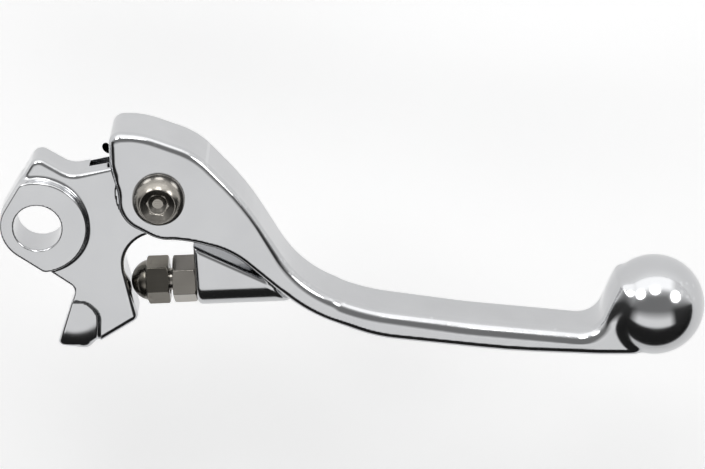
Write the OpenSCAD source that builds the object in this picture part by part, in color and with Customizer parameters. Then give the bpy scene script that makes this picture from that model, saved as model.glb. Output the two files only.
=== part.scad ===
// Adjustable spring-back clutch lever for a motorcycle.
// Frame: origin on the main pivot bore axis at the lever's mid-plane, +Z along the bore,
// +X towards the ball end, +Y forward of the handlebar. Units are millimetres.

/* [Main pivot] */
// Diameter of the bore that turns on the perch bolt
pivot_bore_d = 10; // [9:0.1:11]
// Outer radius of the raised boss around the bore
boss_r = 10.2; // [9.5:0.1:11]
// Height of the raised boss face above the mid-plane
boss_top = 6.15; // [5:0.05:6.5]
// Depth of the spot face below the mid-plane
boss_bottom = 2.85; // [2.5:0.05:3.6]

/* [Knuckle] */
// Half thickness of the knuckle plate
plate_half = 4.15; // [3.8:0.05:4.2]
// Half thickness of the nose that pushes the piston
nose_half = 2.4; // [2:0.1:3]
// Radius of the rounded tongue end
tongue_r = 7.4; // [7:0.1:7.6]
// Half thickness of the tongue between the thrust washers
tongue_half = 3.85; // [3.6:0.05:3.9]
// Radius of the shallow recess the ears turn in
recess_r = 9.1; // [9:0.1:9.6]

/* [Fold pivot] */
// Position of the fold pivot along X
fold_x = 25.4; // [25:0.1:26]
// Position of the fold pivot along Y
fold_y = 7; // [6.5:0.1:7.5]
// Shank diameter of the pivot bolt
bolt_d = 6; // [5.8:0.05:6]
// Diameter of the button head
head_d = 10.8; // [10:0.1:11.5]
// Height of the button head
head_h = 4.9; // [4:0.1:5.4]
// Hexagon socket across its flats
socket_af = 4.2; // [4:0.1:4.5]
// Outer diameter of the pivot bush
bush_d = 8; // [7.6:0.1:8.2]
// Radial clearance of every turning or sliding fit
fit_gap = 0.05; // [0.02:0.01:0.1]

/* [Blade] */
// Half thickness of the blade and its two ears
blade_half = 7; // [6.5:0.1:7.2]
// Half width of the slot between the ears
slot_half = 4.25; // [4.22:0.01:4.4]
// Radius of the ball at the end of the blade
ball_r = 10.67; // [9.5:0.01:11]
// Position of the ball centre along X
ball_x = 129.4; // [125:0.1:132]
// Position of the ball centre along Y
ball_y = -20.2; // [-21:0.1:-19]

/* [Adjuster] */
// Half thickness of the block that carries the adjuster
block_half = 5.6; // [5:0.1:6]
// Face of the block along X
block_x = 32.5; // [32:0.1:33]
// Height of the adjuster axis at the block face
axis_y = -14.1; // [-14.5:0.1:-13.8]
// Slope of the adjuster axis in degrees
axis_tilt = 2.5; // [0:0.5:4]
// Thread diameter of the adjuster stud
stud_d = 6; // [5:0.1:6]
// Diameter of the relief between the two nuts
neck_d = 4.7; // [4:0.1:5]
// Hexagon of both adjuster nuts across the flats
nut_af = 8.9; // [8:0.1:10]
// Height of the jam nut
jam_h = 4.9; // [4:0.1:4.9]
// Start of the dome nut from the block face
dome_start = 5.7; // [5.6:0.05:6]
// End of the dome nut's hexagon from the block face
dome_hex_end = 10.2; // [9.8:0.1:10.6]
// Tip of the dome from the block face
dome_tip = 13.85; // [13.5:0.05:13.9]

/* [Spring] */
// Wire diameter of the torsion spring
wire_d = 1.5; // [1.2:0.1:1.6]
// Mean radius of the spring coils
coil_r = 4.95; // [4.8:0.05:5.1]
// Radius of the pocket the coils sit in
pocket_r = 5.95; // [5.8:0.05:6.2]

/* [Lock nut] */
// Lock nut across its flats
lock_af = 10; // [9:0.1:10]
// Height of the lock nut without its collar
lock_h = 4.6; // [4:0.1:5]

/* [Hidden] */
steel = [0.45, 0.43, 0.40];
alloy = [0.80, 0.80, 0.82];
black = [0.08, 0.08, 0.09];
nylon = [0.20, 0.35, 0.75];
bronze = [0.72, 0.52, 0.28];
fine = 72;
arc_step = 9;
washer_t = 1.2;
over = 0.01;
tongue_slope = 11.3;
boss_edge = 0.5;
boss_foot = 0.8;
fold = [fold_x, fold_y];

// ---- outlines with rounded corners -------------------------------------------------
// A corner is [x, y, corner radius]; the outline runs clockwise.
function xy(p) = [p[0], p[1]];
function unit(v) = v / norm(v);
function turn_between(p, c, q) = 180 - acos(max(-1, min(1, unit(p - c) * unit(q - c))));
function side_of(p, c, q) = sign((c - p)[0] * (q - c)[1] - (c - p)[1] * (q - c)[0]);
function spin(v, a) = [v[0] * cos(a) - v[1] * sin(a), v[0] * sin(a) + v[1] * cos(a)];
function arc_count(t) = max(2, ceil(t / arc_step));

// Points of one rounded corner between its neighbours p and q
function corner_arc(p, c, q, r) =
    let (t = turn_between(p, c, q))
    let (s = side_of(p, c, q))
    let (m = unit(unit(p - c) + unit(q - c)))
    let (o = c + m * r / cos(t / 2))
    let (v = c + unit(p - c) * r * tan(t / 2) - o)
    let (n = arc_count(t))
    [for (j = [0:n]) o + spin(v, s * t * j / n)];

function outline(k) = [for (i = [0:len(k) - 1])
    let (p = xy(k[(i + len(k) - 1) % len(k)]))
    let (q = xy(k[(i + 1) % len(k)]))
    each corner_arc(p, xy(k[i]), q, k[i][2])];

// Plate of uniform thickness centred on the mid-plane
module plate(k, half) {
    translate([0, 0, -half]) linear_extrude(height = 2 * half) polygon(outline(k));
}

// Corner of a polygon that is tangent to a circle at the angles a and b
function tangent_corner(c, r, a, b) =
    let (d = r / cos((b - a) / 2))
    [c[0] + d * cos((a + b) / 2), c[1] + d * sin((a + b) / 2), r];

knuckle_corners = [
    tangent_corner([0, 0], 7.9, 235, 149),
    [0, 15.25, 2.1],
    [6.9, 10.95, 5],
    tangent_corner(fold, tongue_r, 90 + tongue_slope, 40),
    tangent_corner(fold, tongue_r, 40, -20),
    tangent_corner(fold, tongue_r, -20, -65),
    [16.2, -5.45, 7.5],
    [20.25, -22.1, 1.8],
    [11.6, -27.7, 6],
    [8.9, -30.6, 2.2],
    [2.4, -29.4, 1.2],
    [7.3, -14.75, 2]
];

blade_corners = [
    [15.4, 21.45, 2.6],
    [22.6, 21, 18],
    [33.4, 16.9, 16],
    [43.2, 5.9, 60],
    [54.6, -13.1, 24],
    [68, -18.75, 40],
    [90, -21.75, 120],
    [116.8, -24.45, 5.2],
    [121.3, -14.6, 1.2],
    [127, -16, 3],
    [127, -29.2, 3],
    [118, -29.5, 40],
    [98, -28.55, 160],
    [69.6, -25.2, 34],
    [55.2, -19.1, 34],
    [49.5, -13.9, 30],
    [40.3, -5.6, 18],
    [31.6, -2.75, 28],
    [25.2, -2.55, 8],
    [17.2, 1.6, 6.5],
    [16.9, 8.3, 10],
    [15.4, 13, 10]
];

// Upper part of the neck where its outer layers narrow with the ball's surface
neck_cut = [[119.4, -19], [123.8, -12], [123.8, 0], [140, 0], [140, -19]];

block_corners = [
    [block_x, -1, 0.9],
    [40, -1, 0.9],
    [54.5, -14.5, 2],
    [53, -17.6, 1],
    [block_x, axis_y - 1, 0.5]
];

// Slot between the ears, seen along the bolt
module slot_outline() {
    translate(fold) circle(r = tongue_r + 0.5, $fn = fine);
    translate(fold)
        polygon([[1.2, 7.7], [-20, 10.95], [-20, -14], [0.4, -10.6], [3.4, -7.1], [0, 0]]);
}

// ---- placing along the adjuster axis, local +Z runs from the block to the dome -------
module on_adjuster_axis() {
    translate([block_x, axis_y, 0]) rotate([0, 0, axis_tilt]) rotate([0, -90, 0]) children();
}

// Hexagon bar with both ends of its corners turned off
module turned_hex(af, h, turned_low, turned_high) {
    r = af / sqrt(3);
    c = r - af / 2 + 0.12;
    low = turned_low ? c : 0;
    high = turned_high ? c : 0;
    intersection() {
        cylinder(r = r, h = h, $fn = 6);
        rotate_extrude($fn = fine)
            polygon([[0, 0], [r - low, 0], [r + over, low * 0.58 + over],
                [r + over, h - high * 0.58 - over], [r - high, h], [0, h]]);
    }
}

module ring_washer(outer, inner, t) {
    difference() {
        cylinder(d = outer, h = t, $fn = fine);
        translate([0, 0, -1]) cylinder(d = inner, h = t + 2, $fn = fine);
    }
}

// ---- knuckle ---------------------------------------------------------------------------
// Turned boss with a bevelled top edge and a small foot
module boss_body() {
    rotate_extrude($fn = 96)
        polygon([[0, 0], [boss_r + boss_foot, 0], [boss_r + boss_foot, plate_half],
            [boss_r + 0.3, plate_half + boss_foot], [boss_r, plate_half + boss_foot + 0.3],
            [boss_r, boss_top - boss_edge], [boss_r - boss_edge, boss_top], [0, boss_top]]);
}

// Clearance beside the nose on one face, with a sloping wall
module nose_clearance() {
    translate([7.7, -22.2, nose_half]) cylinder(r1 = 2.7, r2 = 4.3, h = 1.9, $fn = 48);
    translate([0, 0, nose_half]) linear_extrude(height = 4)
        polygon([[-2, -17.2], [6.4, -18.6], [7.7, -19.6], [10.3, -22.2], [9.4, -26], [9, -34],
            [-2, -34]]);
    translate([0, 0, nose_half + 0.9]) linear_extrude(height = 4)
        polygon([[-2, -16.4], [7.2, -17.7], [7.7, -18.6], [11.3, -22.2], [10.2, -26.6],
            [9.6, -34], [-2, -34]]);
}

module knuckle() {
    color(alloy) difference() {
        union() {
            plate(knuckle_corners, plate_half);
            intersection() {
                boss_body();
                linear_extrude(height = 10) polygon(outline(knuckle_corners));
            }
        }
        translate([0, 0, -20]) cylinder(d = pivot_bore_d, h = 40, $fn = fine);
        translate([0, 0, -boss_bottom - 5]) cylinder(r = boss_r + 0.5, h = 5, $fn = fine);
        nose_clearance();
        mirror([0, 0, 1]) nose_clearance();
        translate([fold_x, fold_y, tongue_half]) cylinder(r = recess_r, h = 3, $fn = fine);
        translate([fold_x, fold_y, -tongue_half - 3]) cylinder(r = recess_r, h = 3, $fn = fine);
        translate([fold_x, fold_y, -10]) cylinder(d = bush_d + 0.02, h = 20, $fn = fine);
        translate([fold_x, fold_y, -5]) cylinder(r = pocket_r, h = 5.3, $fn = fine);
        translate([fold_x, fold_y, -1]) rotate([0, 0, coil_start - 360 * coil_turns * tang_at])
            translate([coil_r, 0, 0]) cylinder(d = wire_d + 0.1, h = 3, $fn = 24);
        translate([fold_x, fold_y, -4.5]) rotate([0, 0, tongue_slope])
            translate([-13.5, 4, 0]) cube([16.3, 5, 4.8]);
    }
}

module pivot_bush() {
    color(bronze) translate([fold_x, fold_y, -3.8])
        ring_washer(bush_d, bolt_d + 2 * fit_gap, 7.6);
}

// Space around the ball that the two outer layers of the neck leave free
module neck_relief() {
    translate([0, 0, -1.5]) linear_extrude(height = 3) difference() {
        polygon(neck_cut);
        translate([ball_x, ball_y]) circle(r = 8.4, $fn = fine);
    }
}

// ---- blade -------------------------------------------------------------------------------
module lever_blade() {
    color(alloy) difference() {
        union() {
            difference() {
                plate(blade_corners, blade_half);
                for (s = [-1, 1]) translate([0, 0, s * (blade_half - 1)])
                    neck_relief();
            }
            plate(block_corners, block_half);
            on_adjuster_axis() translate([0, 0, -17.5]) cylinder(r = block_half, h = 17.5, $fn = fine);
            translate([ball_x, ball_y, 0]) sphere(r = ball_r, $fn = 64);
        }
        translate([0, 0, -slot_half]) linear_extrude(height = 2 * slot_half) slot_outline();
        translate([fold_x, fold_y, -20])
            cylinder(d = bolt_d + 2 * fit_gap, h = 40, $fn = fine);
        on_adjuster_axis() translate([0, 0, -15])
            cylinder(d = stud_d + 2 * fit_gap, h = 20, $fn = 48);
    }
}

// ---- fold pivot hardware -----------------------------------------------------------------
module pivot_bolt() {
    r = head_d / 2;
    flat_r = 0.9;
    crown = [for (i = [0:8]) let (a = 90 * i / 8)
        [flat_r + (r - flat_r) * cos(a), 0.35 + (head_h - 0.35) * sin(a)]];
    color(steel) translate([fold_x, fold_y, blade_half + 0.02]) difference() {
        union() {
            rotate_extrude($fn = 96)
                polygon(concat([[0, 0], [r - 0.15, 0], [r, 0.15]], crown, [[0, head_h]]));
            translate([0, 0, -21.6]) cylinder(d = bolt_d, h = 21.7, $fn = fine);
        }
        translate([0, 0, head_h - 2]) rotate([0, 0, -7])
            cylinder(d = socket_af / cos(30), h = 3, $fn = 6);
        translate([0, 0, head_h - 2.5]) cylinder(d1 = 0.6, d2 = socket_af - 0.4, h = 0.51, $fn = 24);
    }
}

module near_thrust_washer() {
    color(bronze) translate([fold_x, fold_y, 3.88]) ring_washer(13, bolt_d + 0.2, 0.34);
}

module far_thrust_washer() {
    color(bronze) translate([fold_x, fold_y, -4.22]) ring_washer(14, bolt_d + 0.2, 0.34);
}

module lock_nut_washer() {
    color(steel) translate([fold_x, fold_y, -blade_half - 0.02 - washer_t])
        ring_washer(12, bolt_d + 0.2, washer_t);
}

module lock_nut() {
    top = blade_half + washer_t + 0.04;
    color(steel) translate([fold_x, fold_y, -top]) mirror([0, 0, 1]) difference() {
        union() {
            turned_hex(lock_af, lock_h, true, true);
            translate([0, 0, lock_h - over]) cylinder(d = 8.8, h = 1.4, $fn = fine);
        }
        translate([0, 0, -1]) cylinder(d = bolt_d, h = 10, $fn = fine);
        translate([0, 0, lock_h - 0.6]) cylinder(d = 7.6, h = 1.5, $fn = fine);
    }
}

module lock_nut_insert() {
    top = blade_half + washer_t + 0.04;
    color(nylon) translate([fold_x, fold_y, -top - lock_h + 0.6]) mirror([0, 0, 1])
        ring_washer(7.6, bolt_d, 1.5);
}

// ---- spring --------------------------------------------------------------------------------
coil_low = -2.95;
coil_high = -0.55;
// Place of the tang along the coil, as a share of its length
tang_at = 0.965;
coil_start = 80;
coil_turns = 1.3333;
coil_steps = 30;
leg_length = 12.2;

// Round wire along a path whose bends stay close to the XY plane
module wire(path, r, n) {
    last = len(path) - 1;
    points = [for (i = [0:last])
        let (t = unit(path[min(last, i + 1)] - path[max(0, i - 1)]))
        let (u = unit(cross([0, 0, 1], t)))
        let (v = cross(t, u))
        each [for (j = [0:n - 1]) path[i] + r * (cos(360 * j / n) * u + sin(360 * j / n) * v)]];
    walls = [for (i = [0:last - 1], j = [0:n - 1])
        each [[i * n + j, (i + 1) * n + j, (i + 1) * n + (j + 1) % n],
            [i * n + j, (i + 1) * n + (j + 1) % n, i * n + (j + 1) % n]]];
    start = [for (j = [0:n - 1]) j];
    finish = [for (j = [n - 1:-1:0]) last * n + j];
    polyhedron(points = points, faces = concat([start], walls, [finish]), convexity = 6);
}

function coil_point(t) =
    let (a = coil_start - 360 * coil_turns * t)
    [coil_r * cos(a), coil_r * sin(a), coil_low + (coil_high - coil_low) * t];

module return_spring() {
    out = [cos(coil_start + 90), sin(coil_start + 90), 0];
    leg_end = coil_point(0) + out * leg_length;
    hook = [for (a = [15:15:90]) leg_end
        + 1.6 * [cos(coil_start + 90) * sin(a) + cos(coil_start) * (1 - cos(a)),
            sin(coil_start + 90) * sin(a) + sin(coil_start) * (1 - cos(a)), 0]];
    path = concat([for (i = [len(hook) - 1:-1:0]) hook[i]], [leg_end],
        [for (i = [0:coil_steps]) coil_point(i / coil_steps)]);
    tang = coil_point(tang_at);
    color(black) translate([fold_x, fold_y, 0]) {
        wire(path, wire_d / 2, 12);
        translate(tang) cylinder(d = wire_d - 0.3, h = 1.9, $fn = 24);
    }
}

// ---- adjuster ------------------------------------------------------------------------------
module adjuster_stud() {
    color(steel) on_adjuster_axis() {
        translate([0, 0, -10.5]) cylinder(d1 = stud_d - 1, d2 = stud_d, h = 0.5, $fn = 48);
        translate([0, 0, -10]) cylinder(d = stud_d, h = jam_h + 10, $fn = 48);
        translate([0, 0, jam_h - over]) cylinder(d = neck_d, h = dome_start - jam_h + 0.3, $fn = 48);
        translate([0, 0, dome_start + 0.2]) cylinder(d = stud_d, h = 3.8, $fn = 48);
    }
}

module dome_nut() {
    base_r = nut_af / 2 - 0.1;
    rise = dome_tip - dome_hex_end;
    round_r = (base_r * base_r + rise * rise) / (2 * rise);
    sweep = asin(base_r / round_r);
    profile = [for (i = [0:8]) let (a = sweep * (1 - i / 8))
        [round_r * sin(a), dome_tip - round_r * (1 - cos(a))]];
    color(steel) on_adjuster_axis() difference() {
        union() {
            translate([0, 0, dome_start]) rotate([0, 0, 7.4])
                turned_hex(nut_af, dome_hex_end - dome_start, true, true);
            rotate_extrude($fn = fine)
                polygon(concat([[0, dome_hex_end - 0.3], [base_r, dome_hex_end - 0.3]], profile));
        }
        translate([0, 0, dome_start - 1]) cylinder(d = stud_d + 2 * fit_gap, h = 5.5, $fn = 48);
    }
}

module jam_nut() {
    color(steel) on_adjuster_axis() difference() {
        translate([0, 0, 0.03]) rotate([0, 0, 17]) turned_hex(nut_af, jam_h - 0.03, true, true);
        translate([0, 0, -1]) cylinder(d = stud_d + 2 * fit_gap, h = 8, $fn = 48);
    }
}

knuckle();
lever_blade();
pivot_bolt();
pivot_bush();
near_thrust_washer();
far_thrust_washer();
lock_nut();
lock_nut_insert();
lock_nut_washer();
return_spring();
adjuster_stud();
dome_nut();
jam_nut();
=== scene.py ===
"""Clutch lever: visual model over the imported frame. Lengths are in millimetres until make_mesh."""
import math

import bpy
import numpy as np
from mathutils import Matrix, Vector


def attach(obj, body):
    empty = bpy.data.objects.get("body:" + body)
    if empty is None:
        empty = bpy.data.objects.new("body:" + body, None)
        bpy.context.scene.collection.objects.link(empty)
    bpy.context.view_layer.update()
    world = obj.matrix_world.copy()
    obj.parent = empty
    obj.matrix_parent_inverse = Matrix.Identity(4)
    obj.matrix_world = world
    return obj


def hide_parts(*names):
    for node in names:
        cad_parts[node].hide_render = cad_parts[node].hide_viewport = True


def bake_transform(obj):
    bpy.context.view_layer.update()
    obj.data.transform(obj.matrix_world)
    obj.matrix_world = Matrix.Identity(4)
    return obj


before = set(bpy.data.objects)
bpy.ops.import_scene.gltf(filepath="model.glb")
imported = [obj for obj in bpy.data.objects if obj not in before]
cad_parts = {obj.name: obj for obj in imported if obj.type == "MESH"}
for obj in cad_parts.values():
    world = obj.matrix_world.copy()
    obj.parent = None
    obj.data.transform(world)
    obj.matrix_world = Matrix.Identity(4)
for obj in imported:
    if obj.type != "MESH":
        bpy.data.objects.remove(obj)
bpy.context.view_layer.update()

MM = 0.001
FOLD = (25.4, 7.0)
BLADE_HALF = 7.0
PLATE_HALF = 4.15
NOSE_HALF = 2.4
BOSS_TOP = 6.15
BOSS_BOTTOM = -2.85
BALL = (129.4, -20.2, 10.67)
BLOCK_FACE = (32.5, -14.1)
BLOCK_HALF = 5.6
AXIS_TILT = math.radians(2.5)
TONGUE_SLOPE = math.radians(11.3)

# M6 hardware: thread size, clearance hole and hexagon sizes
THREAD_RADIUS = 2.98
THREAD_PITCH = 1.0
THREAD_DEPTH = 0.5
CLEARANCE_RADIUS = 3.05
NUT_FLATS = 8.9
LOCK_NUT_FLATS = 10.0
LOCK_NUT_SEAT = -8.24
WASHER_SEAT = -7.02

# torsion spring
COIL_RADIUS = 4.95
COIL_TURNS = 1.3333
COIL_LOW, COIL_HIGH = -2.95, -0.55
LEG_LENGTH = 11.7
HOOK_RADIUS = 0.9
WIRE_RADIUS = 0.75


# ---- signed distances ----------------------------------------------------------------
def smin(a, b, k):
    """Union of two distances with a fillet about k wide."""
    h = np.maximum(k - np.abs(a - b), 0.0) / k
    return np.minimum(a, b) - h * h * k * 0.25


def smax(a, b, k):
    """Intersection of two distances with an edge rounded over about k."""
    return -smin(-a, -b, k)


def rounded_slab(d, z, half, r):
    """A flat outline with distance d made into a plate whose edges have radius r."""
    p = d + r
    q = np.abs(z) - (half - r)
    outside = np.hypot(np.maximum(p, 0.0), np.maximum(q, 0.0))
    return np.minimum(np.maximum(p, q), 0.0) + outside - r


def hexagon(x, y, across_flats):
    """Distance to a hexagon with two flats facing +Y and -Y, corners slightly broken."""
    a = across_flats / 2
    x, y = np.abs(x), np.abs(y)
    return smax(y, x * 0.8660254 + y * 0.5, 0.12) - a


def ring_corner(c, r, a, b):
    """Corner tangent to a circle about c at the angles a and b, in degrees."""
    m, s = math.radians((a + b) / 2), math.radians((b - a) / 2)
    d = r / math.cos(s)
    return c[0] + d * math.cos(m), c[1] + d * math.sin(m)


def outline(corners, step=3.0):
    """Points and edge radii of a polygon given as (x, y, corner radius, edge radius)."""
    points, edges = [], []
    n = len(corners)
    for i in range(n):
        p, c, q = (np.array(corners[j % n][:2], float) for j in (i - 1, i, i + 1))
        r, e = corners[i][2:4]
        a, b = p - c, q - c
        a, b = a / np.linalg.norm(a), b / np.linalg.norm(b)
        turn = math.pi - math.acos(max(-1.0, min(1.0, float(a @ b))))
        side = 1.0 if -a[0] * b[1] + a[1] * b[0] > 0 else -1.0
        m = (a + b) / np.linalg.norm(a + b)
        o = c + m * r / math.cos(turn / 2)
        v = c + a * r * math.tan(turn / 2) - o
        count = max(2, math.ceil(math.degrees(turn) / step))
        for j in range(count + 1):
            t = side * turn * j / count
            points.append(o + (v[0] * math.cos(t) - v[1] * math.sin(t),
                               v[0] * math.sin(t) + v[1] * math.cos(t)))
            edges.append(e)
    return np.array(points), np.array(edges)


class Outline:
    """Signed distance and edge radius of a closed outline, smooth enough to shade."""

    def __init__(self, corners, margin=5.0, cell=0.2):
        points, edges = outline(corners)
        self.low = points.min(0) - margin
        self.cell = cell
        size = np.ceil((points.max(0) + margin - self.low) / cell).astype(int) + 1
        x = self.low[0] + cell * np.arange(size[0])[:, None]
        y = self.low[1] + cell * np.arange(size[1])[None, :]
        best = np.full(size, 1e9)
        edge = np.zeros(size)
        inside = np.zeros(size, bool)
        ends = np.roll(points, -1, axis=0)
        for (ax, ay), (bx, by), ea, eb in zip(points, ends, edges, np.roll(edges, -1)):
            dx, dy = bx - ax, by - ay
            length = dx * dx + dy * dy
            if length < 1e-12:
                continue
            t = np.clip(((x - ax) * dx + (y - ay) * dy) / length, 0, 1)
            d = (x - ax - t * dx) ** 2 + (y - ay - t * dy) ** 2
            near = d < best
            best = np.where(near, d, best)
            edge = np.where(near, ea + t * (eb - ea), edge)
            if ay != by:
                crosses = ((ay > y) != (by > y)) & (x < (y - ay) * dx / dy + ax)
                inside ^= crosses
        self.d = np.sqrt(best) * np.where(inside, -1, 1)
        for _ in range(12):
            edge[1:-1, 1:-1] = (edge[1:-1, 1:-1] * 2 + edge[:-2, 1:-1] + edge[2:, 1:-1]
                                + edge[1:-1, :-2] + edge[1:-1, 2:]) / 6
        self.edge = edge

    def sample(self, x, y, *tables):
        u = np.clip((x - self.low[0]) / self.cell, 1.0, self.d.shape[0] - 3.001)
        v = np.clip((y - self.low[1]) / self.cell, 1.0, self.d.shape[1] - 3.001)
        i, j = np.floor(u).astype(int), np.floor(v).astype(int)
        u, v = u - i, v - j
        i, j = np.broadcast_arrays(i, j)
        wu, wv = (((1 - t) ** 3 / 6, (3 * t ** 3 - 6 * t ** 2 + 4) / 6,
                   (-3 * t ** 3 + 3 * t ** 2 + 3 * t + 1) / 6, t ** 3 / 6) for t in (u, v))
        out = []
        for table in tables:
            total = 0.0
            for a in range(4):
                for b in range(4):
                    total = total + wu[a] * wv[b] * table[i + a - 1, j + b - 1]
            out.append(total)
        return out


# ---- from distance to mesh -----------------------------------------------------------
def surface(field, low, high, cell):
    """Vertices, faces and normals of the zero surface of a distance field."""
    axes = [np.arange(a, b + cell, cell) for a, b in zip(low, high)]
    grid = field(axes[0][:, None, None], axes[1][None, :, None], axes[2][None, None, :])
    shape = tuple(len(a) for a in axes)
    grid = np.broadcast_to(grid, shape).astype(np.float32)
    inside = grid < 0
    n = [s - 1 for s in shape]
    count = np.zeros(n, np.int8)
    for a in (0, 1):
        for b in (0, 1):
            for c in (0, 1):
                count += inside[a:a + n[0], b:b + n[1], c:c + n[2]]
    active = (count > 0) & (count < 8)
    index = np.full(n, -1, np.int64)
    i, j, k = np.nonzero(active)
    index[i, j, k] = np.arange(len(i))
    total = np.zeros((len(i), 3))
    hits = np.zeros(len(i))
    for axis in range(3):
        others = [m for m in range(3) if m != axis]
        for a in (0, 1):
            for b in (0, 1):
                start = np.array([i, j, k])
                start[others[0]] += a
                start[others[1]] += b
                end = start.copy()
                end[axis] += 1
                va = grid[start[0], start[1], start[2]]
                vb = grid[end[0], end[1], end[2]]
                cut = (va < 0) != (vb < 0)
                t = np.where(cut, va / np.where(cut, va - vb, 1), 0)
                p = start.T.astype(float)
                p[:, axis] += t
                total += p * cut[:, None]
                hits += cut
    points = total / hits[:, None] * cell + np.array(low)
    faces = []
    for axis in range(3):
        ends = [slice(1, s - 1) for s in shape]
        ends[axis] = slice(0, shape[axis] - 1)
        later = list(ends)
        later[axis] = slice(1, shape[axis])
        first, second = inside[tuple(ends)], inside[tuple(later)]
        cells = np.array(np.nonzero(first != second))
        outward = first[tuple(cells)]
        for m in range(3):
            cells[m] += ends[m].start
        b, c = (axis + 1) % 3, (axis + 2) % 3
        corners = []
        for sb, sc in ((-1, -1), (0, -1), (0, 0), (-1, 0)):
            w = cells.copy()
            w[b] += sb
            w[c] += sc
            corners.append(index[w[0], w[1], w[2]])
        quad = np.array(corners).T
        faces.append(np.where(outward[:, None], quad, quad[:, ::-1]))
    faces = np.concatenate(faces)

    def slope(p):
        e = 0.01
        g = np.empty_like(p)
        for m in range(3):
            up, down = p.copy(), p.copy()
            up[:, m] += e
            down[:, m] -= e
            g[:, m] = (field(*up.T) - field(*down.T)) / (2 * e)
        return g

    for _ in range(4):
        g = slope(points)
        size = np.maximum((g * g).sum(1), 0.05)
        step = g * (field(*points.T) / size)[:, None]
        length = np.maximum(np.linalg.norm(step, axis=1), 1e-9)
        points = points - step * np.minimum(1, 0.5 * cell / length)[:, None]
    g = slope(points)
    normals = g / np.maximum(np.linalg.norm(g, axis=1), 1e-9)[:, None]
    return points, faces, normals


def make_mesh(name, points, faces, normals):
    mesh = bpy.data.meshes.new(name)
    mesh.from_pydata((points * MM).tolist(), [], faces.tolist())
    mesh.validate()
    mesh.polygons.foreach_set("use_smooth", [True] * len(mesh.polygons))
    if len(normals) == len(mesh.vertices):
        mesh.normals_split_custom_set_from_vertices(normals.tolist())
    mesh.update()
    piece = bpy.data.objects.new(name, mesh)
    bpy.context.scene.collection.objects.link(piece)
    return piece


def solid(name, field, low, high, cell, place=None):
    """A mesh piece from a field; place turns its own axes into the row frame."""
    points, faces, normals = surface(field, low, high, cell)
    if place is not None:
        matrix, origin = place
        points = points @ matrix.T + origin
        normals = normals @ matrix.T
    return make_mesh(name, points, faces, normals)


def adjuster_place():
    """Local +Z runs from the block's face to the dome, local +X is the row's +Z."""
    along = np.array([-math.cos(AXIS_TILT), -math.sin(AXIS_TILT), 0.0])
    up = np.array([0.0, 0.0, 1.0])
    side = np.cross(along, up)
    return np.array([up, side, along]).T, np.array([BLOCK_FACE[0], BLOCK_FACE[1], 0.0])


def fold_place(z=0.0, flip=False):
    """Local +Z runs along the fold pivot, towards the near face unless flipped."""
    s = -1.0 if flip else 1.0
    return np.diag([1.0, s, s]), np.array([FOLD[0], FOLD[1], z])


# ---- outlines ------------------------------------------------------------------------
KNUCKLE = Outline([
    (*ring_corner((0, 0), 7.9, 235, 149), 7.9, 0.9),
    (0, 15.25, 2.1, 1.2),
    (6.9, 10.95, 5, 1.15),
    (*ring_corner(FOLD, 7.4, 101.3, 40), 7.4, 0.3),
    (*ring_corner(FOLD, 7.4, 40, -20), 7.4, 0.3),
    (*ring_corner(FOLD, 7.4, -20, -65), 7.4, 0.3),
    (16.2, -5.45, 7.5, 0.9),
    (20.25, -22.1, 1.8, 1.5),
    (11.6, -27.7, 6, 1.5),
    (8.9, -30.6, 2.2, 1.9),
    (2.4, -29.4, 1.2, 0.9),
    (7.3, -14.75, 2, 0.45),
])

BLADE = Outline([
    (15.4, 21.45, 2.6, 2.0),
    (22.6, 21, 18, 1.75),
    (33.4, 16.9, 16, 1.75),
    (43.2, 5.9, 60, 1.6),
    (54.6, -13.1, 24, 2.1),
    (68, -18.75, 40, 2.6),
    (90, -21.75, 120, 2.9),
    (116.8, -24.45, 5.2, 2.9),
    (121.6, -12.8, 1.2, 3.6),
    (127, -14, 3.6, 3.6),
    (127, -29.4, 2.5, 1.9),
    (118, -29.5, 40, 2.0),
    (98, -28.55, 160, 1.9),
    (69.6, -25.2, 34, 1.8),
    (55.2, -19.1, 34, 1.5),
    (49.5, -13.9, 30, 1.3),
    (40.3, -5.6, 18, 1.3),
    (31.6, -2.75, 28, 1.2),
    (25.2, -2.55, 8, 1.1),
    (17.2, 1.6, 6.5, 1.3),
    (16.9, 8.3, 10, 1.4),
    (15.4, 13, 10, 2),
])

RECESS = Outline([
    (-14, -17.2, 1, 0),
    (4, -17.6, 1, 0),
    (*ring_corner((7.7, -22.2), 4.35, 95, 45), 4.35, 0),
    (*ring_corner((7.7, -22.2), 4.35, 45, -8), 4.35, 0),
    (11.8, -33, 2, 0),
    (-2, -46, 4, 0),
    (-14, -46, 1, 0),
])

SLOT = Outline([
    (FOLD[0] - 20, FOLD[1] + 10.95, 0.5, 0),
    (*ring_corner(FOLD, 7.9, 81, 20), 7.9, 0),
    (*ring_corner(FOLD, 7.9, 20, -50), 7.9, 0),
    (FOLD[0] + 2.4, FOLD[1] - 8.2, 1.0, 0),
    (FOLD[0] - 1.2, FOLD[1] - 14, 0.5, 0),
    (FOLD[0] - 20, FOLD[1] - 14, 0.5, 0),
])


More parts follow.
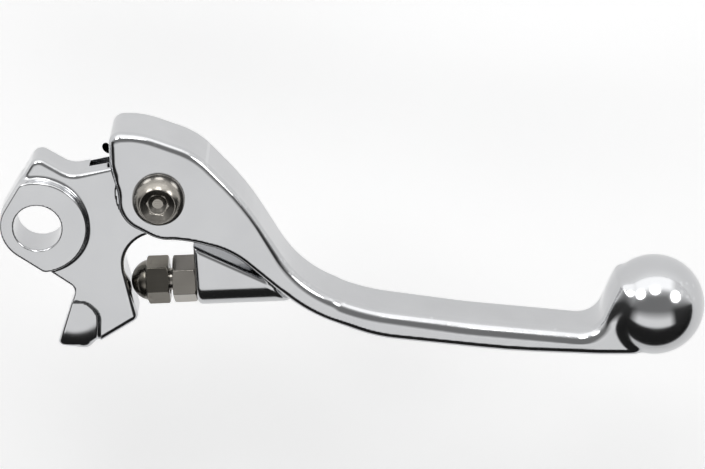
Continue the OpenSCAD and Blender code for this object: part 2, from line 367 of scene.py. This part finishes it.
# ---- castings ------------------------------------------------------------------------
def knuckle_field(x, y, z):
    d, r = KNUCKLE.sample(x, y, KNUCKLE.d, KNUCKLE.edge)
    recess, = RECESS.sample(x, y, RECESS.d)
    half = PLATE_HALF + smax(recess * 1.15, NOSE_HALF - PLATE_HALF, 0.5)
    half = smin(half, PLATE_HALF, 0.15)
    tip = np.clip((10.15 - np.hypot(x - 6.5, y + 20.5)) / 5.6, 0, 1)
    tip_half = 0.5 + (NOSE_HALF - 0.5) * np.sqrt(np.maximum(1 - (1 - tip) ** 2, 0))
    weight = np.clip(-recess / 1.2, 0, 1)
    half = half + weight * (np.minimum(half, tip_half) - half)
    r = np.minimum(r, half * 0.95)
    body = rounded_slab(d, z, half, r)
    ring = np.hypot(x, y)
    boss_2d = smax(ring - 10.25, d + 0.05, 0.4)
    mid = (BOSS_TOP - 2.0) / 2
    boss = rounded_slab(boss_2d, z - mid, BOSS_TOP - mid, 0.45)
    body = smin(body, boss, 1.1)
    spot = np.maximum(ring - 10.75, z - BOSS_BOTTOM)
    body = smax(body, -spot, 0.3)
    bore = ring - 5.0
    mouth = np.maximum(np.abs(z - (BOSS_TOP + BOSS_BOTTOM) / 2) - 4.25, 0)
    body = smax(body, -(bore - mouth * 0.9), 0.1)
    fx, fy = x - FOLD[0], y - FOLD[1]
    turn = np.hypot(fx, fy)
    body = smax(body, -np.maximum(turn - 9.1, 3.85 - np.abs(z)), 0.15)
    body = smax(body, -(turn - 4.01), 0.1)
    body = smax(body, -np.maximum(turn - 5.95, z - 0.3), 0.2)
    c, s = math.cos(TONGUE_SLOPE), math.sin(TONGUE_SLOPE)
    along, across = fx * c + fy * s, -fx * s + fy * c
    groove = np.maximum(np.maximum(4.0 - across, np.abs(along + 5.35) - 8.15),
                        np.abs(z + 1.73) - 2.03)
    return smax(body, -groove, 0.3)


def blade_field(x, y, z):
    d, r = BLADE.sample(x, y, BLADE.d, BLADE.edge)
    body = rounded_slab(d, z, BLADE_HALF, r)
    ball = np.sqrt((x - BALL[0]) ** 2 + (y - BALL[1]) ** 2 + z * z) - BALL[2]
    body = smin(body, ball, 1.3)
    dx, dy = x - BLOCK_FACE[0], y - BLOCK_FACE[1]
    c, s = math.cos(AXIS_TILT), math.sin(AXIS_TILT)
    along, across = dx * c + dy * s, -dx * s + dy * c
    bottom = np.where(across > 0, np.abs(z), np.hypot(np.minimum(across, 0), z)) - BLOCK_HALF
    ends = np.maximum(np.maximum(-along, along - 21.5), across - 9.5 + 0.55 * along)
    slant = (across * 0.56 + along * 0.83) - 13.6
    block = smax(smax(bottom, np.maximum(ends, slant), 1.4), slant, 0.6)
    body = smin(body, block, 0.9)
    hole = np.maximum(np.hypot(across, z) - CLEARANCE_RADIUS, along - 15)
    body = smax(body, -(hole - np.maximum(0.35 - along, 0) * 0.8), 0.1)
    slot, = SLOT.sample(x, y, SLOT.d)
    body = smax(body, -np.maximum(slot, np.abs(z) - 4.25), 0.35)
    pivot = np.hypot(x - FOLD[0], y - FOLD[1]) - CLEARANCE_RADIUS
    mouth = np.maximum(np.abs(z) - 6.75, 0)
    return smax(body, -(pivot - mouth), 0.1)


# ---- hardware ------------------------------------------------------------------------
def thread(x, y, z, radius, pitch, depth):
    """Distance to a screw thread along Z."""
    phase = (z / pitch - np.arctan2(y, x) / (2 * math.pi)) % 1.0
    wave = np.clip(np.abs(phase - 0.5) * 2.6 - 0.25, 0, 1)
    return (np.hypot(x, y) - radius + depth * wave) * 0.8


def hex_bar(x, y, z, across_flats, low, high, tilt):
    """Hexagon bar from low to high whose corners are turned off at 30 degrees."""
    c, s = math.cos(tilt), math.sin(tilt)
    body = hexagon(x * c + y * s, -x * s + y * c, across_flats)
    body = smax(body, np.maximum(low - z, z - high), 0.15)
    r = np.hypot(x, y)
    corner = across_flats / math.sqrt(3)
    body = smax(body, (r - corner) * 0.5 + (low - z) * 0.866 + 0.22, 0.15)
    return smax(body, (r - corner) * 0.5 + (z - high) * 0.866 + 0.22, 0.15)


def dome_nut_field(x, y, z):
    r = np.hypot(x, y)
    body = hex_bar(x, y, z, NUT_FLATS, 5.7, 10.35, math.radians(-7.4))
    rise, base = 3.65, 4.32
    big = (base * base + rise * rise) / (2 * rise)
    dome = np.maximum(np.sqrt(r * r + (z - 13.85 + big) ** 2) - big, 9.5 - z)
    body = smin(body, dome, 0.25)
    bore = np.maximum(r - CLEARANCE_RADIUS, z - 10.2)
    return smax(body, -bore, 0.1)


def jam_nut_field(x, y, z):
    body = hex_bar(x, y, z, NUT_FLATS, 0.04, 4.9, math.radians(-17))
    mouth = np.maximum(np.abs(z - 2.47) - 2.1, 0)
    bore = np.hypot(x, y) - CLEARANCE_RADIUS - mouth * 0.8
    return smax(body, -bore, 0.08)


def stud_field(x, y, z):
    r = np.hypot(x, y)
    rod = thread(x, y, z, THREAD_RADIUS, THREAD_PITCH, THREAD_DEPTH)
    neck = np.maximum(r - 2.35, np.abs(z - 5.3) - 0.55)
    gap = np.maximum(np.abs(z - 5.3) - 0.4, r - 9)
    rod = np.maximum(rod, -gap)
    rod = smax(rod, np.maximum(-10.4 - z, z - 9.6), 0.2)
    rod = smax(rod, (r - THREAD_RADIUS) * 0.7 + (-10.4 - z) * 0.7 + 0.35, 0.1)
    return np.minimum(rod, neck)


def bolt_field(x, y, z):
    r = np.hypot(x, y)
    crown = (np.sqrt((r / 5.45) ** 2 + (np.maximum(z - 0.3, 0) / 4.75) ** 2) - 1) * 4.75
    head = smax(crown, 0.02 - z, 0.2)
    head = smax(head, z - 4.85, 0.3)
    shank = np.maximum(r - 3.0, z - 1)
    tail = thread(x, y, z, THREAD_RADIUS, THREAD_PITCH, THREAD_DEPTH)
    shank = np.where(z < -15.2, np.maximum(tail, z - 1), shank)
    shank = smax(shank, -21.5 - z, 0.3)
    shank = smax(shank, (r - 3) * 0.7 + (-21.5 - z) * 0.7 + 0.4, 0.1)
    body = smin(head, shank, 0.2)
    c, s = math.cos(math.radians(-7)), math.sin(math.radians(-7))
    socket = hexagon(x * c + y * s, -x * s + y * c, 4.2)
    lip = np.maximum(z - 4.5, 0) * 0.5
    hole = np.maximum(socket - lip, 2.9 - z)
    # Known fault: this drill point has no upper end, so it widens through the crown and
    # leaves the head dished where it should be domed.
    cone = np.maximum(r * 0.5 + (1.8 - z) * 0.9, 2.4 - z)
    return smax(smax(body, -hole, 0.12), -cone, 0.1)


def lock_nut_field(x, y, z):
    body = hex_bar(x, y, z, LOCK_NUT_FLATS, 0.0, 4.6, 0.0)
    r = np.hypot(x, y)
    collar = smax(r - 4.4, np.maximum(3.5 - z, z - 5.95), 0.5)
    body = smin(body, collar, 0.4)
    bore = r - 3.0 - np.maximum(0.4 - z, 0) * 0.8
    seat = np.maximum(r - 3.8, 4.0 - z)
    return smax(smax(body, -bore, 0.08), -seat, 0.1)


def ring_field(outer, inner, low, high, soft):
    def field(x, y, z):
        r = np.hypot(x, y)
        body = smax(r - outer, np.maximum(low - z, z - high), soft)
        return smax(body, -(r - inner), soft)
    return field


def spring_path():
    """Centre line of the torsion spring about the fold axis: hook, leg, coils and tang."""
    start = math.radians(80)
    coil = []
    for i in range(121):
        t = i / 120
        a = start - 2 * math.pi * COIL_TURNS * t
        coil.append((COIL_RADIUS * math.cos(a), COIL_RADIUS * math.sin(a),
                     COIL_LOW + (COIL_HIGH - COIL_LOW) * t))
    first = np.array(coil[0])
    away = np.array([math.cos(start + math.pi / 2), math.sin(start + math.pi / 2), 0])
    outward = np.array([math.cos(start), math.sin(start), 0])
    end = first + away * LEG_LENGTH
    hook = []
    for i in range(1, 9):
        a = math.radians(75 * i / 8)
        bend = away * math.sin(a) + outward * (1 - math.cos(a))
        hook.append(end + HOOK_RADIUS * bend)
    leg = [end + (first - end) * i / 24 for i in range(25)]
    last = np.array(coil[-1])
    tang = [last + (0, 0, 0.25 * i) for i in range(2, 8)]
    return np.array(hook[::-1] + leg[:-1] + coil + tang)


def tube(name, path, radius, sides=20):
    """Round wire along a path, with domed ends."""
    tangent = np.gradient(path, axis=0)
    tangent /= np.linalg.norm(tangent, axis=1)[:, None]
    u = np.cross([0, 0, 1.0], tangent)
    for i in range(len(u)):
        if np.linalg.norm(u[i]) < 0.3:
            u[i] = u[i - 1] - tangent[i] * (u[i - 1] @ tangent[i])
    u /= np.linalg.norm(u, axis=1)[:, None]
    v = np.cross(tangent, u)
    rings, normals = [], []
    angles = np.linspace(0, 2 * math.pi, sides, endpoint=False)
    caps = [math.radians(a) for a in (80, 60, 40, 20)]
    stations = [(0, c, -1) for c in caps] + [(i, 0, 1) for i in range(len(path))]
    stations += [(len(path) - 1, c, 1) for c in caps[::-1]]
    for i, cap, s in stations:
        n = np.outer(np.cos(angles), u[i]) + np.outer(np.sin(angles), v[i])
        n = n * math.cos(cap) + tangent[i] * s * math.sin(cap)
        rings.append(path[i] + n * radius)
        normals.append(n)
    points, normals = np.concatenate(rings), np.concatenate(normals)
    m = len(rings)
    j = np.arange(sides)
    faces = [np.array([i * sides + j, (i + 1) * sides + j,
                       (i + 1) * sides + (j + 1) % sides, i * sides + (j + 1) % sides]).T
             for i in range(m - 1)]
    faces = np.concatenate(faces).tolist()
    faces.append(j.tolist())
    faces.append(((m - 1) * sides + j[::-1]).tolist())
    mesh = bpy.data.meshes.new(name)
    mesh.from_pydata((points * MM).tolist(), [], faces)
    mesh.polygons.foreach_set("use_smooth", [True] * len(mesh.polygons))
    mesh.normals_split_custom_set_from_vertices(normals.tolist())
    piece = bpy.data.objects.new(name, mesh)
    bpy.context.scene.collection.objects.link(piece)
    return piece


# ---- materials -----------------------------------------------------------------------
class Nodes:
    """Small helper that adds and links shader nodes."""

    def __init__(self, material):
        material.use_nodes = True
        self.tree = material.node_tree
        self.tree.nodes.clear()

    def add(self, kind, inputs=None, **settings):
        node = self.tree.nodes.new(kind)
        for key, value in settings.items():
            setattr(node, key, value)
        for key, value in (inputs or {}).items():
            if isinstance(value, bpy.types.NodeSocket):
                self.tree.links.new(value, node.inputs[key])
            else:
                node.inputs[key].default_value = value
        return node

    def math(self, operation, a, b=0.0):
        return self.add("ShaderNodeMath", {0: a, 1: b}, operation=operation).outputs[0]

    def ramp(self, value, stops):
        node = self.add("ShaderNodeValToRGB", {"Fac": value})
        elements = node.color_ramp.elements
        elements[0].position, elements[1].position = 0.0, 1.0
        for place, level in sorted(stops)[1:-1]:
            elements.new(place)
        for element, (place, level) in zip(elements, sorted(stops)):
            element.position = place
            level = (level,) * 3 if isinstance(level, (int, float)) else level
            element.color = (*level, 1)
        return node.outputs["Color"]

    def remap(self, value, a, b, c, d):
        return self.add("ShaderNodeMapRange", {"Value": value, "From Min": a, "From Max": b,
                                               "To Min": c, "To Max": d}).outputs["Result"]

    def noise(self, where, scale, detail, roughness=0.5):
        return self.add("ShaderNodeTexNoise", {"Vector": where, "Scale": scale, "Detail": detail,
                                               "Roughness": roughness}).outputs["Fac"]


def metal(name, colour, dark, rough, flat_rough, grain, scratch, wear):
    """Metal with grain, fine scratches, uneven roughness and brighter worn edges."""
    material = bpy.data.materials.new(name)
    n = Nodes(material)
    where = n.add("ShaderNodeTexCoord").outputs["Object"]
    shape = n.add("ShaderNodeNewGeometry")
    blotch = n.noise(where, 90.0, 4.0)
    fine = n.noise(where, 2600.0, 3.0, 0.6)
    stretch = n.add("ShaderNodeMapping", {"Vector": where, "Scale": (300.0, 6500.0, 300.0),
                                          "Rotation": (0.0, 0.0, 0.16)}).outputs[0]
    lines = n.noise(stretch, 1.0, 4.0, 0.65)
    facing = n.add("ShaderNodeSeparateXYZ", {0: shape.outputs["Normal"]}).outputs["Z"]
    flat = n.remap(n.math("ABSOLUTE", facing), 0.975, 0.999, 0.0, 1.0)
    edge = n.remap(shape.outputs["Pointiness"], 0.52, 0.62, 0.0, wear)
    tone = n.add("ShaderNodeMix", {"Factor": n.remap(blotch, 0.3, 0.7, 0.0, 1.0)},
                 data_type="RGBA")
    tone.inputs[6].default_value = (*dark, 1)
    tone.inputs[7].default_value = (*colour, 1)
    worn = n.add("ShaderNodeMix", {"Factor": edge}, data_type="RGBA")
    n.tree.links.new(tone.outputs[2], worn.inputs[6])
    worn.inputs[7].default_value = (*(min(1.0, c * 1.12) for c in colour), 1)
    base = n.math("MULTIPLY_ADD", flat, flat_rough - rough)
    base.node.inputs[2].default_value = rough
    vary = n.remap(n.math("MULTIPLY", lines, blotch), 0.05, 0.45, -grain, grain)
    level = n.math("ADD", base, vary)
    bump_fine = n.add("ShaderNodeBump", {"Height": fine, "Strength": scratch * 0.5,
                                         "Distance": 0.00002})
    bump = n.add("ShaderNodeBump", {"Height": lines, "Strength": scratch, "Distance": 0.00002,
                                    "Normal": bump_fine.outputs[0]})
    shader = n.add("ShaderNodeBsdfPrincipled", {
        "Base Color": worn.outputs[2], "Metallic": 1.0, "Roughness": level,
        "Normal": bump.outputs[0]})
    n.add("ShaderNodeOutputMaterial", {"Surface": shader.outputs[0]})
    return material


def coated(name, colour, light, rough, metallic, specks):
    """Blackened wire or plastic with mottling, specks and a soft grain."""
    material = bpy.data.materials.new(name)
    n = Nodes(material)
    where = n.add("ShaderNodeTexCoord").outputs["Object"]
    shape = n.add("ShaderNodeNewGeometry")
    mottle = n.noise(where, 240.0, 5.0, 0.6)
    fine = n.noise(where, 3200.0, 2.0)
    spots = n.add("ShaderNodeTexVoronoi", {"Vector": where, "Scale": 1500.0}).outputs["Distance"]
    tone = n.add("ShaderNodeMix", {"Factor": n.remap(mottle, 0.35, 0.75, 0.0, 1.0)},
                 data_type="RGBA")
    tone.inputs[6].default_value = (*colour, 1)
    tone.inputs[7].default_value = (*light, 1)
    edge = n.remap(shape.outputs["Pointiness"], 0.53, 0.65, 0.0, 0.4)
    worn = n.add("ShaderNodeMix", {"Factor": edge}, data_type="RGBA")
    n.tree.links.new(tone.outputs[2], worn.inputs[6])
    worn.inputs[7].default_value = (*(min(1.0, c * 2.2 + 0.02) for c in colour), 1)
    level = n.remap(n.math("ADD", mottle, n.math("MULTIPLY", spots, specks)), 0.3, 1.2,
                    rough - 0.08, rough + 0.14)
    bump = n.add("ShaderNodeBump", {"Height": fine, "Strength": 0.25, "Distance": 0.00003})
    shader = n.add("ShaderNodeBsdfPrincipled", {
        "Base Color": worn.outputs[2], "Metallic": metallic, "Roughness": level,
        "Normal": bump.outputs[0]})
    n.add("ShaderNodeOutputMaterial", {"Surface": shader.outputs[0]})
    return material


ALLOY = metal("polished_alloy", (0.565, 0.57, 0.58), (0.525, 0.53, 0.54), 0.12, 0.14,
              0.03, 0.10, 0.7)
STAINLESS = metal("stainless", (0.36, 0.34, 0.31), (0.26, 0.245, 0.22), 0.20, 0.26, 0.05, 0.16, 0.6)
DARK_STAINLESS = metal("stainless_nut", (0.19, 0.178, 0.155), (0.14, 0.13, 0.112), 0.20, 0.26,
                       0.05, 0.16, 0.6)
BRONZE = metal("bronze", (0.55, 0.38, 0.20), (0.42, 0.28, 0.14), 0.34, 0.42, 0.06, 0.25, 0.5)
SPRING_STEEL = coated("spring_steel", (0.010, 0.010, 0.011), (0.028, 0.028, 0.030), 0.36, 0.6, 0.3)
NYLON = coated("nylon", (0.05, 0.13, 0.42), (0.08, 0.18, 0.50), 0.5, 0.0, 0.5)


def finish_piece(piece, nodes, body, material):
    piece.data.materials.append(material)
    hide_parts(*nodes)
    if body:
        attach(piece, body)
    return piece


# ---- the pieces ----------------------------------------------------------------------
CELL = 0.3
FINE = 0.12

finish_piece(solid("knuckle_casting", knuckle_field, (-12, -33, -5), (34.5, 17, 7.2), CELL),
             ["knuckle"], "knuckle_body", ALLOY)
finish_piece(solid("blade_casting", blade_field, (13.5, -33, -11.6), (141.5, 23, 11.6), CELL),
             ["lever_blade"], "blade_body", ALLOY)

ADJUSTER = adjuster_place()
finish_piece(solid("dome_nut_turned", dome_nut_field, (-6, -6, 5.2), (6, 6, 14.4), FINE, ADJUSTER),
             ["dome_nut"], "dome_body", DARK_STAINLESS)
finish_piece(solid("jam_nut_turned", jam_nut_field, (-6, -6, -0.5), (6, 6, 5.4), FINE, ADJUSTER),
             ["jam_nut"], "jam_body", STAINLESS)
finish_piece(solid("stud_threaded", stud_field, (-3.6, -3.6, -11), (3.6, 3.6, 10.2), FINE,
                   ADJUSTER),
             ["adjuster_stud"], "stud_body", STAINLESS)
# The grid ends at 3.8, below the domed crown's 4.85, which the fault in bolt_field hides.
finish_piece(solid("bolt_button_head", bolt_field, (-6, -6, -22), (6, 6, 3.8), FINE,
                   fold_place(BLADE_HALF)),
             ["pivot_bolt"], "blade_body", STAINLESS)
finish_piece(solid("lock_nut_body", lock_nut_field, (-6.4, -6.4, -0.5), (6.4, 6.4, 6.5), FINE,
                   fold_place(LOCK_NUT_SEAT, True)),
             ["lock_nut"], "blade_body", STAINLESS)
finish_piece(solid("lock_nut_ring", ring_field(3.78, 3.0, 4.02, 5.5, 0.15),
                   (-4.5, -4.5, 3.6), (4.5, 4.5, 6), FINE, fold_place(LOCK_NUT_SEAT, True)),
             ["lock_nut_insert"], "blade_body", NYLON)
finish_piece(solid("lock_nut_flat_washer", ring_field(6.0, 3.1, -1.2, 0.0, 0.25),
                   (-6.6, -6.6, -1.6), (6.6, 6.6, 0.4), FINE, fold_place(WASHER_SEAT)),
             ["lock_nut_washer"], "blade_body", STAINLESS)
finish_piece(solid("near_washer", ring_field(6.5, 3.1, 3.88, 4.22, 0.1),
                   (-7, -7, 3.5), (7, 7, 4.6), FINE, fold_place()),
             ["near_thrust_washer"], "blade_body", BRONZE)
finish_piece(solid("far_washer", ring_field(7.0, 3.1, -4.22, -3.88, 0.1),
                   (-7.5, -7.5, -4.6), (7.5, 7.5, -3.5), FINE, fold_place()),
             ["far_thrust_washer"], "blade_body", BRONZE)
finish_piece(solid("bush_sleeve", ring_field(4.0, CLEARANCE_RADIUS, -3.8, 3.8, 0.2),
                   (-4.5, -4.5, -4.2), (4.5, 4.5, 4.2), FINE, fold_place()),
             ["pivot_bush"], "knuckle_body", BRONZE)

spring = tube("spring_wire", spring_path() + (FOLD[0], FOLD[1], 0), WIRE_RADIUS)
finish_piece(spring, ["return_spring"], None, SPRING_STEEL)
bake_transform(spring)


# ---- floor, light and camera ---------------------------------------------------------
FLOOR_HALF = 3.0
FLOOR_Z = -0.06
FLOOR_GLOW = 0.26


def make_floor():
    mesh = bpy.data.meshes.new("floor")
    a, z = FLOOR_HALF, FLOOR_Z
    mesh.from_pydata([(-a, -a, z), (a, -a, z), (a, a, z), (-a, a, z)], [], [(0, 1, 2, 3)])
    floor = bpy.data.objects.new("floor", mesh)
    bpy.context.scene.collection.objects.link(floor)
    material = bpy.data.materials.new("floor")
    n = Nodes(material)
    where = n.add("ShaderNodeTexCoord").outputs["Object"]
    tone = n.ramp(n.noise(where, 3.0, 2.0), [(0.3, 0.95), (0.7, 0.97)])
    shader = n.add("ShaderNodeBsdfPrincipled", {"Base Color": tone, "Roughness": 0.9,
                                                "Emission Color": (1, 1, 1, 1),
                                                "Emission Strength": FLOOR_GLOW})
    n.add("ShaderNodeOutputMaterial", {"Surface": shader.outputs[0]})
    mesh.materials.append(material)


BOX_DISTANCE = 1.6
BOX_WIDTH = 0.64
BOX_POWER = 4.6


def soft_box(name, direction, height):
    """A soft elliptical lamp that faces the middle of the lever."""
    light = bpy.data.lights.new(name, "AREA")
    light.shape = "ELLIPSE"
    light.size, light.size_y, light.energy = BOX_WIDTH, height, BOX_POWER
    lamp = bpy.data.objects.new(name, light)
    bpy.context.scene.collection.objects.link(lamp)
    centre = np.array([0.065, -0.005, 0.0])
    d = np.array(direction) / np.linalg.norm(direction)
    lamp.location = centre + d * BOX_DISTANCE
    lamp.rotation_euler = Vector(-d).to_track_quat("-Z", "Y").to_euler()


def make_world():
    """Studio surround by the angle from overhead: black in front, dim above, pale elsewhere."""
    world = bpy.data.worlds.new("studio")
    bpy.context.scene.world = world
    n = Nodes(world)
    where = n.add("ShaderNodeTexCoord").outputs["Generated"]
    xyz = n.add("ShaderNodeSeparateXYZ", {0: where})
    angle = n.math("ARCTAN2", xyz.outputs["Y"], xyz.outputs["Z"])
    place = n.remap(angle, -math.pi, math.pi, 0.0, 1.0)
    middle = [(-180, 0.9), (-90, 0.9), (-84, 0.02), (-34, 0.02), (-30, 1.08), (-14, 1.08),
              (-2, 0.6), (8, 0.26), (40, 0.26), (52, 0.6), (64, 1.75), (88, 1.75), (100, 1.0),
              (180, 0.9)]
    sides = [(-180, 0.9), (-90, 0.9), (-84, 0.01), (8, 0.05), (30, 0.4), (64, 1.0), (100, 0.95),
             (180, 0.9)]
    tones = [n.ramp(place, [((a + 180) / 360, v) for a, v in stops])
             for stops in (middle, sides)]
    across = n.math("MAXIMUM", xyz.outputs["X"], n.math("MULTIPLY", xyz.outputs["X"], -0.8))
    mix = n.add("ShaderNodeMix", {"Factor": n.remap(across, 0.5, 0.68, 0.0, 1.0)},
                data_type="RGBA")
    n.tree.links.new(tones[0], mix.inputs[6])
    n.tree.links.new(tones[1], mix.inputs[7])
    tone = mix.outputs[2]
    back = n.add("ShaderNodeBackground", {"Color": tone, "Strength": 1.0})
    n.add("ShaderNodeOutputWorld", {"Surface": back.outputs[0]})


make_floor()
make_world()
for box_name, direction, height in (("left_box", (-0.551, 0.645, 0.528), 0.64),
                                    ("middle_box", (0.0, 0.829, 0.558), 0.58),
                                    ("right_box", (0.710, 0.500, 0.495), 0.70)):
    soft_box(box_name, direction, height)

camera_data = bpy.data.cameras.new("camera")
camera_data.lens = 141.04
camera_data.sensor_width = 36
camera_data.clip_end = 20
camera = bpy.data.objects.new("camera", camera_data)
bpy.context.scene.collection.objects.link(camera)
camera.location = (0.06538, 0.23183, 0.52986)
camera.rotation_euler = (math.radians(-24), 0, 0)
bpy.context.scene.camera = camera
bpy.context.scene.view_settings.view_transform = "Standard"
